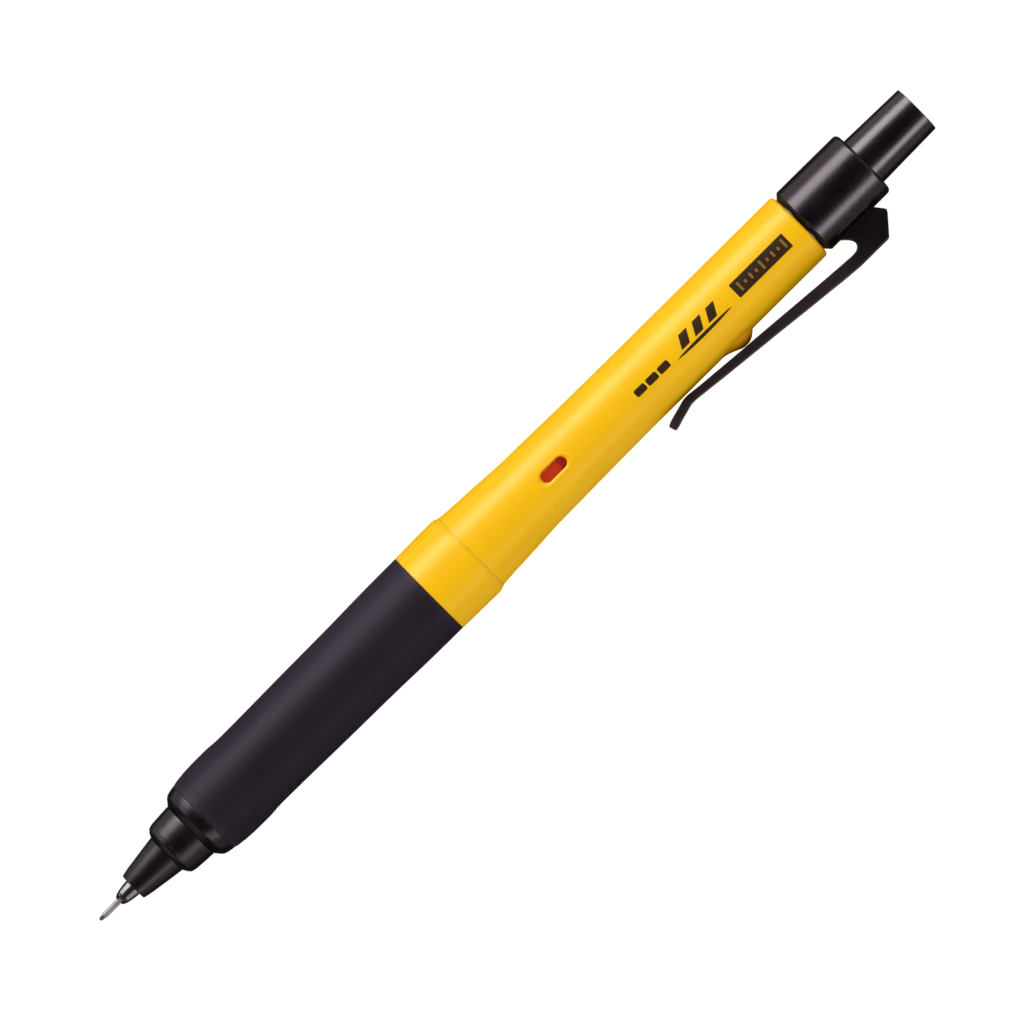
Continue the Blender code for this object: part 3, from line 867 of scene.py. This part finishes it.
# ------------------------------------------------------------------ yellow joint ring
ring = lathe("joint_ring_shell", rounded([
    (65.84, 4.45), (65.84, 5.915, 0.03), (65.05, 6.185, 0.9), (63.0, 6.175), (61.0, 6.15), (58.44, 6.10, 0.04),
    (58.44, 4.45, 0.1)], 6), 160)
give(polish(ring), M["ring"])
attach(ring, MAIN)
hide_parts("joint_ring")

# ------------------------------------------------------------------ gel grip
GRIP_PTS = [(18.50, 5.455), (18.8, 5.54), (19.2, 5.605), (19.6, 5.66), (20.0, 5.71), (20.8, 5.765), (21.6, 5.81),
            (22.6, 5.83), (24.2, 5.83), (25.2, 5.785), (26.0, 5.72), (27.2, 5.69), (29.0, 5.70), (31.0, 5.72),
            (34.0, 5.765), (38.5, 5.83), (43.0, 5.87), (47.0, 5.915), (51.4, 6.02), (55.0, 6.065), (58.42, 6.085)]


def build_grip():
    outer = skin(GRIP_PTS, 18.52, 58.40, 120)
    # the shallow crease where the front lip of the sleeve is moulded over the ring
    outer = [(s, r - 0.035 * math.exp(-((s - 19.92) / 0.10) ** 2)) for s, r in outer if abs(s - 19.92) > 0.4]
    for i in range(17):
        s = 19.52 + 0.8 * i / 16
        outer.append((s, pchip(GRIP_PTS, [s])[0] - 0.035 * math.exp(-((s - 19.92) / 0.10) ** 2)))
    outer.sort()
    loop = [(18.49, 4.42), (18.49, outer[0][1] - 0.06)] + [(18.51, outer[0][1] - 0.02)] + outer[1:-1] \
        + [(58.40, 6.083), (58.42, 6.06), (58.42, 4.42)]
    return lathe("grip_sleeve", loop, 160)


grip = give(polish(build_grip(), 40), M["gel"])
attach(grip, MAIN)
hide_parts("gel_grip")

# ------------------------------------------------------------------ front ring and nose
front_ring = lathe("front_ring", rounded([
    (16.18, 3.28), (16.18, 4.24, 0.05), (16.42, 4.50, 0.2), (16.72, 4.88, 0.35), (17.12, 5.18, 0.45), (17.7, 5.34, 0.6),
    (18.47, 5.45, 0.03), (18.47, 4.43), (17.05, 4.43), (17.05, 3.28)], 6), 144)
give(polish(front_ring, 42), M["front_ring"])
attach(front_ring, MAIN)
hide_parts("grip_front_ring")

nose = lathe("nose_shell", rounded([
    (5.9, 1.27, 0.04), (5.9, 1.92, 0.10), (7.05, 2.17), (9.1, 2.47), (11.1, 2.75), (11.84, 2.84, 0.12),
    (12.10, 3.34, 0.12), (12.50, 3.82, 0.30), (13.15, 3.98, 0.3), (14.6, 4.08), (15.95, 4.15, 0.10),
    (16.12, 4.12, 0.05), (16.12, 3.08, 0.05), (24.0, 3.08, 0.15), (24.0, 2.6), (12.9, 2.6), (12.2, 1.65), (7.2, 1.65),
    (7.2, 1.27)], 5), 144)
give(polish(nose, 40), M["nose"])
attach(nose, MAIN)
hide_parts("nose_cone")

# ------------------------------------------------------------------ metal tip
slider = lathe("tip_slider_fine", rounded([
    (3.4, 0.45), (3.4, 0.60, 0.05), (3.62, 0.74, 0.1), (3.85, 0.86, 0.2), (4.3, 0.985, 0.4), (5.0, 1.10, 0.5), (5.6, 1.165, 0.2),
    (7.5, 1.17), (7.5, 1.55, 0.05), (12.35, 1.55), (13.1, 2.45), (15.8, 2.45, 0.05), (15.8, 2.0), (13.3, 2.0),
    (12.6, 1.08), (11.3, 1.08), (11.3, 0.45)], 5), 96)
give(polish(slider, 40), M["steel"])
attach(slider, "rotor_unit")
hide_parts("tip_slider")

pipe = lathe("guide_pipe_fine", rounded([
    (0.72, 0.335), (0.72, 0.375, 0.02), (0.80, 0.39, 0.03), (8.0, 0.39, 0.02), (8.0, 0.335)], 3), 48)
give(polish(pipe, 40), M["pipe"])
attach(pipe, "pipe_unit")
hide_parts("guide_pipe")

lead = lathe("lead_fine", [(0.0, 0.0), (0.0, 0.10), (0.03, 0.16), (0.10, 0.22), (0.22, 0.265), (0.40, 0.28),
                           (45.0, 0.28), (45.0, 0.0)], 32)
give(polish(lead, 40), M["graphite"])
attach(lead, "lead_unit")
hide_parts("lead")

# ------------------------------------------------------------------ collar
collar = lathe("clip_collar_shell", rounded([
    (117.0, 3.75), (117.0, 4.3, 0.1), (124.38, 4.3), (124.43, 4.37, 0.04), (125.0, 4.985, 0.30), (135.5, 4.94, 0.85),
    (135.5, 3.75, 0.12)], 8), 160)
give(polish(collar, 40), M["collar"])
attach(collar, MAIN)
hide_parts("clip_collar")

# ------------------------------------------------------------------ push cap
cap_loop = rounded([
    (144.90, 0.0), (144.905, 0.8), (144.93, 1.6), (144.975, 2.3, 0.8), (145.0, 2.75, 0.3), (145.0, 3.395, 0.12), (135.6, 3.585),
    (135.2, 3.64), (128.0, 3.64, 0.1), (128.0, 3.0, 0.1), (143.9, 3.0), (143.9, 0.0)], 4, False)
cap = lathe("push_cap_shell", cap_loop, 144)
give(polish(cap, 40), M["cap"])
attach(cap, "button_cap")
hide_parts("push_cap")


# ------------------------------------------------------------------ lead magazine and eraser
magazine = lathe("lead_tube_fine", rounded([
    (101.25, 1.3, 0.08), (101.25, 2.2, 0.10), (103.0, 2.9, 0.5), (140.2, 2.9, 0.15), (140.5, 2.84, 0.1), (141.0, 2.81, 0.12),
    (141.0, 2.31, 0.08), (104.2, 2.31, 0.3), (102.8, 1.3, 0.2)], 4), 96)
give(polish(magazine, 40), M["magazine"])
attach(magazine, "button_unit")
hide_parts("lead_tube")

eraser_stub = lathe("eraser_fine", rounded([
    (137.0, 0.0), (137.0, 2.2, 0.25), (142.6, 2.2, 0.35), (142.6, 0.0)], 5, False), 80)
give(polish(eraser_stub, 40), M["eraser"])
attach(eraser_stub, "eraser_stub")
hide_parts("eraser")

# ------------------------------------------------------------------ clip arm with its bridge
def resample(pts, n):
    p = np.array(pts, float)
    seg = np.sqrt(((p[1:] - p[:-1]) ** 2).sum(1))
    t = np.concatenate([[0], np.cumsum(seg)])
    u = np.linspace(0, t[-1], n + 1)
    return [(float(np.interp(x, t, p[:, 0])), float(np.interp(x, t, p[:, 1]))) for x in u]


def spline(pts, per=6):
    """Catmull-Rom curve through the points, centripetal enough for short profiles."""
    p = [np.array(q, float) for q in pts]
    p = [2 * p[0] - p[1]] + p + [2 * p[-1] - p[-2]]
    out = []
    for i in range(1, len(p) - 2):
        for k in range(per):
            t = k / per
            a, b, c, d = p[i - 1], p[i], p[i + 1], p[i + 2]
            out.append(tuple(0.5 * ((2 * b) + (-a + c) * t + (2 * a - 5 * b + 4 * c - d) * t * t
                                    + (-a + 3 * b - 3 * c + d) * t ** 3)))
    out.append(tuple(p[-2]))
    return out


CLIP_W, CLIP_TIP_W = 4.6, 3.7


def clip_width(s):
    w = float(np.interp(s, [94.5, 115.0, 126.0, 134.0], [CLIP_TIP_W, 4.2, CLIP_W, CLIP_W]))
    if s < 95.9:
        w *= math.sqrt(max(0.16, 1 - ((95.9 - s) / 1.55) ** 2))
    return w


def build_clip():
    # matching stations on the inner and the outer side of the arm, tip to root
    inner = spline([(94.62, 6.42), (95.2, 6.12), (96.2, 5.82), (97.4, 5.50), (98.2, 5.28), (98.9, 5.215), (99.7, 5.27),
                    (101.2, 5.44), (103.3, 5.61), (105.8, 5.82), (108.3, 6.02), (110.9, 6.21), (113.4, 6.41),
                    (115.9, 6.61), (118.4, 6.81), (120.9, 7.01), (123.5, 7.20), (126.0, 7.37)], 5)
    outer = spline([(94.92, 7.40), (95.5, 7.33), (96.4, 7.05), (97.6, 6.72), (98.4, 6.50), (99.1, 6.42), (99.8, 6.46),
                    (101.2, 6.61), (103.3, 6.84), (105.8, 7.10), (108.3, 7.35), (110.9, 7.61), (113.4, 7.86),
                    (115.9, 8.13), (118.4, 8.39), (120.9, 8.63), (123.5, 8.90), (126.0, 9.10)], 5)
    n_arm = len(inner)
    # the bridge: the arch on the tip side, and the flat top, chamfer and back on the other
    arch = resample(spline([(126.0, 7.37), (126.75, 7.36), (127.3, 7.18), (127.66, 6.80), (127.70, 6.35), (127.45, 5.85),
                            (127.0, 5.35), (126.55, 4.95), (126.3, 4.55)], 6), 34)
    top = resample(rounded([(126.0, 9.10), (131.05, 9.12, 0.35), (133.42, 6.38, 0.30), (132.3, 4.95), (132.0, 4.55)], 6, False), 34)
    inner = inner + arch[1:]
    outer = outer + top[1:]
    lanes = 13
    layers = 4
    bm = bmesh.new()
    grid = []
    for i, ((si, di), (so, do)) in enumerate(zip(inner, outer)):
        plane = []
        for j in range(layers + 1):
            t = j / layers
            s, d = si + (so - si) * t, di + (do - di) * t
            w = clip_width(s if i < n_arm else max(s, 126.0))
            row = []
            for k in range(lanes):
                a = -1 + 2 * k / (lanes - 1)
                drop = 0.0
                if j == layers:
                    drop = 0.14 * abs(a) ** 2.4   # the outer face is slightly crowned
                row.append(bm.verts.new(at(s, d - drop, a * w / 2)))
            plane.append(row)
        grid.append(plane)
    n = len(grid)

    def face(*vs):
        bm.faces.new(vs)

    for i in range(n - 1):
        a, b = grid[i], grid[i + 1]
        for k in range(lanes - 1):
            face(a[0][k], a[0][k + 1], b[0][k + 1], b[0][k])
            face(a[layers][k], b[layers][k], b[layers][k + 1], a[layers][k + 1])
        for j in range(layers):
            face(a[j][0], b[j][0], b[j + 1][0], a[j + 1][0])
            face(a[j][-1], a[j + 1][-1], b[j + 1][-1], b[j][-1])
    for plane in (grid[0], grid[-1]):
        for j in range(layers):
            for k in range(lanes - 1):
                face(plane[j][k], plane[j][k + 1], plane[j + 1][k + 1], plane[j + 1][k])
    bmesh.ops.recalc_face_normals(bm, faces=bm.faces)
    # round the long edges, which are the rows along the arm where two sides meet
    sharp = [e for e in bm.edges if len(e.link_faces) == 2 and e.calc_face_angle(0) > math.radians(50)]
    bmesh.ops.bevel(bm, geom=sharp, offset=0.20 * MM, offset_type="OFFSET", segments=3, profile=0.6, affect="EDGES",
                    clamp_overlap=True)
    me = bpy.data.meshes.new("clip_arm_fine")
    bm.to_mesh(me)
    bm.free()
    if me_volume(me) < 0:
        me.flip_normals()
    return link("clip_arm_fine", me)


clip = build_clip()
give(polish(clip, 45), M["clip"])
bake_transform(clip)
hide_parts("clip")

# ------------------------------------------------------------------ window lens and rotor
def build_lens():
    """Clear plug in the slot: a pill with a softly domed top."""
    bm = bmesh.new()
    rings = []
    for shrink, h in ((0.03, 4.42), (0.03, 4.89), (0.06, 4.94), (0.14, 4.975), (0.32, 4.995), (0.55, 5.005)):
        half = (WINDOW[0] - WINDOW[1]) / 2
        rad = max(0.02, WINDOW[1] / 2 - shrink)
        pts = []
        for side, start in ((1, -90), (-1, 90)):
            for i in range(13):
                a = math.radians(start + 180 * i / 12)
                pts.append((80.5 + side * half + rad * math.cos(a), rad * math.sin(a)))
        rings.append([bm.verts.new(at(s, d, h)) for s, d in pts])
    for a, b in zip(rings, rings[1:]):
        for i in range(len(a)):
            j = (i + 1) % len(a)
            bm.faces.new((a[i], a[j], b[j], b[i]))
    bm.faces.new(rings[0])
    bm.faces.new(rings[-1])
    bmesh.ops.recalc_face_normals(bm, faces=bm.faces)
    me = bpy.data.meshes.new("window_lens_fine")
    bm.to_mesh(me)
    bm.free()
    if me_volume(me) < 0:
        me.flip_normals()
    return polish(link("window_lens_fine", me), 50, False)


lens = give(build_lens(), M["lens"])
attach(lens, MAIN)
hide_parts("window_lens")

# ------------------------------------------------------------------ printed marks, generic
def stamp(name, outlines, mat, lift=0.012):
    made = []
    for i, o in enumerate(outlines):
        ob = on_barrel(f"{name}_{i + 1}", o, barrel_r, lift)
        give(ob, mat)
        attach(ob, MAIN)
        made.append(ob)
    return made


stamp("print_block", [round_rect(112.35, 121.65, -0.95, 1.25, 0.10)], M["ink"])
ticks = []
for i in range(9):
    s = 113.15 + i * 0.96
    tall = 0.66 if i % 4 == 0 else (0.42 if i % 2 == 0 else 0.24)
    ticks.append(round_rect(s, s + 0.34, 0.15 - tall, 0.15 + tall, 0.06, 2))
stamp("print_tick", ticks, M["ink_light"], 0.022)
# three slanted bars over a tapered rule
slant = []
for s in (102.5, 104.9, 107.3):
    slant.append([(s, 0.72), (s + 0.95, -0.98), (s + 2.35, -0.98), (s + 1.4, 0.72)])
rule = [(101.3 + 9.5 * i / 16, 1.22 - 0.20 * math.sin(math.pi * i / 16) ** 0.4) for i in range(17)]
rule += [(110.8 - 9.5 * i / 16, 1.24 + 0.24 * math.sin(math.pi * i / 16) ** 0.7) for i in range(17)]
stamp("print_bar", slant + [rule], M["ink"])
stamp("print_dash", [
    round_rect(94.40, 96.15, 0.10, 1.12, 0.24),
    round_rect(96.45, 98.20, 0.10, 1.12, 0.24),
    round_rect(98.50, 100.25, 0.10, 1.12, 0.24),
], M["ink"])

# ------------------------------------------------------------------ springs
def coil_points(s0, s1, r, wire, turns, per_turn=30):
    """A compression spring with closed ends: the first and last turn lie against the next."""
    n = int(turns * per_turn)
    dead = wire * 2.15
    lo, hi = s0 + wire, s1 - wire
    pts = []
    for i in range(n + 1):
        t = i / per_turn
        if t <= 1.0:
            s = lo + dead * t
        elif t >= turns - 1.0:
            s = hi - dead * (turns - t)
        else:
            s = lo + dead + (hi - lo - 2 * dead) * (t - 1.0) / (turns - 2.0)
        pts.append(at(s, r * math.cos(math.tau * t), r * math.sin(math.tau * t)))
    return pts


chuck_coil = tube_along("chuck_spring_fine", coil_points(22.1, 36.4, 1.3, 0.15, 9.0), 0.15 * MM, 12)
cushion_coil = tube_along("cushion_spring_fine", coil_points(89.5, 95.85, 2.75, 0.22, 5.0, 44), 0.22 * MM, 12)
for coil, node, body in ((chuck_coil, "chuck_spring", "rotor_unit"), (cushion_coil, "cushion_spring", MAIN)):
    give(polish(coil, 50, False), M["spring"])
    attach(coil, body)
    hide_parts(node)
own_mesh(chuck_coil)
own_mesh(cushion_coil)

# =====================================================================================
# carried-over CAD nodes: materials
# =====================================================================================
for node, key in {
    "front_barrel": "grey", "engine_case": "case", "engine_end_cap": "natural", "lower_cam": "natural",
    "upper_cam": "natural", "cushion_spring": "spring", "lead_tube": "magazine", "spare_lead_1": "graphite",
    "spare_lead_2": "graphite", "spare_lead_3": "graphite", "eraser": "eraser", "torque_washer": "brass",
    "rotor": "rotor", "drive_tube": "grey", "chuck_sleeve": "brass", "lead_retainer": "rubber",
    "chuck_spring": "spring", "chuck": "brass", "relay_tube": "magazine", "clutch_ring": "steel",
}.items():
    for held in NODES[node].material_slots:
        held.material = M[key].m

# =====================================================================================
# studio
# =====================================================================================
bpy.ops.mesh.primitive_plane_add(size=8.0, location=(0, 0, -0.00002))
floor = bpy.context.object
floor.name = "studio_floor"
give(floor, M["floor"])
floor.visible_glossy = False


def group(name, objs):
    coll = bpy.data.collections.new(name)
    for o in objs:
        coll.objects.link(o)
    return coll


things = [o for o in bpy.context.scene.objects if o.type == "MESH" and o is not floor]
matt = [o for o in things if o.name.startswith(("barrel_shell", "clip_ridge", "joint_ring_shell", "grip_sleeve", "print_"))]
metal = [o for o in things if o.name in ("tip_slider_fine", "guide_pipe_fine", "lead_fine")]
inner = [NODES["rotor"], NODES["lower_cam"], NODES["upper_cam"]]
front = [o for o in things if o.name in ("nose_shell", "front_ring")]
clear = [o for o in things if o.name in ("window_lens_fine", "engine_case")]
subject = group("lit_subject", things)
lit_matt = group("lit_matt", matt)
lit_slider = group("lit_slider", [o for o in metal if o.name == "tip_slider_fine"])
lit_pipe = group("lit_pipe", [o for o in metal if o.name != "tip_slider_fine"])
lit_inner = group("lit_inner", inner)
lit_front = group("lit_front", front)
lit_clear = group("lit_clear", clear)
lit_gloss = group("lit_gloss", [o for o in things if o not in matt + metal + inner + front + clear])
ground = group("lit_ground", [floor])


def aim(ob, angle_deg, dist, s=72.5):
    """angle_deg from straight up, + towards the clip, shining at the axis at station s."""
    a = math.radians(angle_deg)
    ob.location = at(s) + Vector((0, -math.sin(a), math.cos(a))) * dist
    ob.rotation_euler = (a, 0, 0)


def strip(name, angle_deg, spread_deg, radiance, receivers, length=1.3, s=72.5, dist=0.6, color=(1, 1, 1), blockers=None):
    """A soft box along the pencil, spread_deg across, that only gives the sheen of a group."""
    l = bpy.data.lights.new(name, "AREA")
    l.shape = "RECTANGLE"
    width = 2 * dist * math.tan(math.radians(spread_deg / 2))
    l.size, l.size_y = length, width
    l.energy = radiance * 4.0 * width * length
    l.color = color
    ob = link(name, l)
    aim(ob, angle_deg, dist, s)
    ob.visible_camera = False
    ob.visible_diffuse = False
    ob.light_linking.receiver_collection = receivers
    if blockers is not None:
        ob.light_linking.blocker_collection = blockers
    return ob


def sun(name, angle_deg, strength, spread_deg, receivers, blockers=None, color=(1, 1, 1)):
    """Very wide soft light for matt surfaces. strength is what it adds to white paper."""
    l = bpy.data.lights.new(name, "SUN")
    l.energy = strength * math.pi
    l.angle = math.radians(spread_deg)
    l.color = color
    ob = link(name, l)
    aim(ob, angle_deg, 1.0)
    ob.visible_glossy = False
    ob.light_linking.receiver_collection = receivers
    if blockers is not None:
        ob.light_linking.blocker_collection = blockers
    return ob


WARM_GREY = (1.0, 0.88, 0.95)
strip("gloss_key", -61, 31, 11.7, lit_gloss, color=WARM_GREY)
strip("gloss_fill", 57, 20, 9.4, lit_gloss, color=WARM_GREY)
strip("front_key", -61, 32, 2.8, lit_front, color=WARM_GREY)
strip("front_key_short", -61, 32, 15.0, lit_front, length=0.785, s=332.5, dist=0.62, color=WARM_GREY)
strip("front_fill", 57, 24, 3.9, lit_front, color=WARM_GREY)
for i, (spread, share) in enumerate(((12, 3.6), (30, 3.8), (46, 3.4))):
    strip(f"matt_key_{i + 1}", -61, spread, share, lit_matt, dist=0.60 + 0.02 * i)
for i, (spread, share) in enumerate(((12, 1.1), (27, 1.35))):
    strip(f"matt_fill_{i + 1}", 59, spread, share, lit_matt, dist=0.60 + 0.02 * i)
strip("clear_key", -61, 20, 1.6, lit_clear)
# low side lights, which the flanks show when the pencil is seen from beside
for label, held in (("gloss", lit_gloss), ("front", lit_front)):
    strip(f"{label}_side_back", -92, 64, 0.85, held, color=WARM_GREY, blockers=subject)
    strip(f"{label}_side_clip", 88, 50, 0.50, held, color=WARM_GREY, blockers=subject)
strip("matt_side_back", -90, 56, 0.35, lit_matt, blockers=subject)
strip("matt_side_clip", 88, 50, 0.30, lit_matt, blockers=subject)
# and one beyond each end, for the end faces
for label, s, turn in (("end_tip", -530.0, -90), ("end_button", 675.0, 90)):
    l = bpy.data.lights.new(label, "AREA")
    l.shape = "RECTANGLE"
    l.size, l.size_y = 0.5, 0.5
    l.energy = 0.65 * 4.0 * 0.25
    l.color = WARM_GREY
    ob = link(label, l)
    ob.location = at(s, 0.0, 60.0)
    ob.rotation_euler = (math.radians(90), 0, math.radians(turn))
    ob.visible_camera = False
    ob.visible_diffuse = False
    ob.light_linking.receiver_collection = subject
    ob.light_linking.blocker_collection = subject
strip("pipe_key", -80, 44, 1.7, lit_pipe)
strip("pipe_fill", 80, 40, 0.85, lit_pipe)
# these end nearer, so the round front of the slider stays dark
strip("slider_key", -68, 60, 1.8, lit_slider, length=0.99, s=225.0)
strip("slider_fill", 67, 62, 0.62, lit_slider, length=0.99, s=225.0)
strip("pipe_top", -8, 80, 0.37, lit_pipe)
sun("soft_key", -50, 0.48, 70, subject, color=(1.0, 0.99, 0.97))
sun("soft_top", 0, 0.52, 120, subject)
sun("soft_side", 62, 0.12, 70, subject, color=(1.0, 0.84, 0.66))
sun("window_glow", 0, 0.72, 60, lit_inner, blockers=ground)
sun("ground_open", 0, 0.97, 100, ground, blockers=ground)
sun("ground_shade", -12, 0.06, 100, ground)

world = bpy.data.worlds.new("studio")
bpy.context.scene.world = world
world.use_nodes = True
wn = world.node_tree
bg = wn.nodes["Background"]
bg.inputs["Color"].default_value = (1, 1, 1, 1)
path = wn.nodes.new("ShaderNodeLightPath")
seen = wn.nodes.new("ShaderNodeMapRange")
wn.links.new(path.outputs["Is Camera Ray"], seen.inputs["Value"])
seen.inputs["To Min"].default_value = 0.10
seen.inputs["To Max"].default_value = 0.98
gloss = wn.nodes.new("ShaderNodeMapRange")
wn.links.new(path.outputs["Is Glossy Ray"], gloss.inputs["Value"])
gloss.inputs["To Min"].default_value = 1.0
gloss.inputs["To Max"].default_value = 0.30
both = wn.nodes.new("ShaderNodeMath")
both.operation = "MULTIPLY"
wn.links.new(seen.outputs["Result"], both.inputs[0])
wn.links.new(gloss.outputs["Result"], both.inputs[1])
wn.links.new(both.outputs[0], bg.inputs["Strength"])

cam = bpy.data.cameras.new("camera")
cam.lens = 400
cam.sensor_width = 36
cam.sensor_fit = "AUTO"
cam_ob = link("camera", cam)
FRAME_MM = 129.0
dist = FRAME_MM / 2 * MM * cam.lens / 18.0
cam_ob.location = at(73.04, 0.09) + Vector((0, 0, dist))
cam_ob.rotation_euler = (0, 0, -math.radians(44.79))
cam.clip_start, cam.clip_end = 0.05, 60.0
bpy.context.scene.camera = cam_ob
bpy.context.scene.view_settings.view_transform = "Standard"
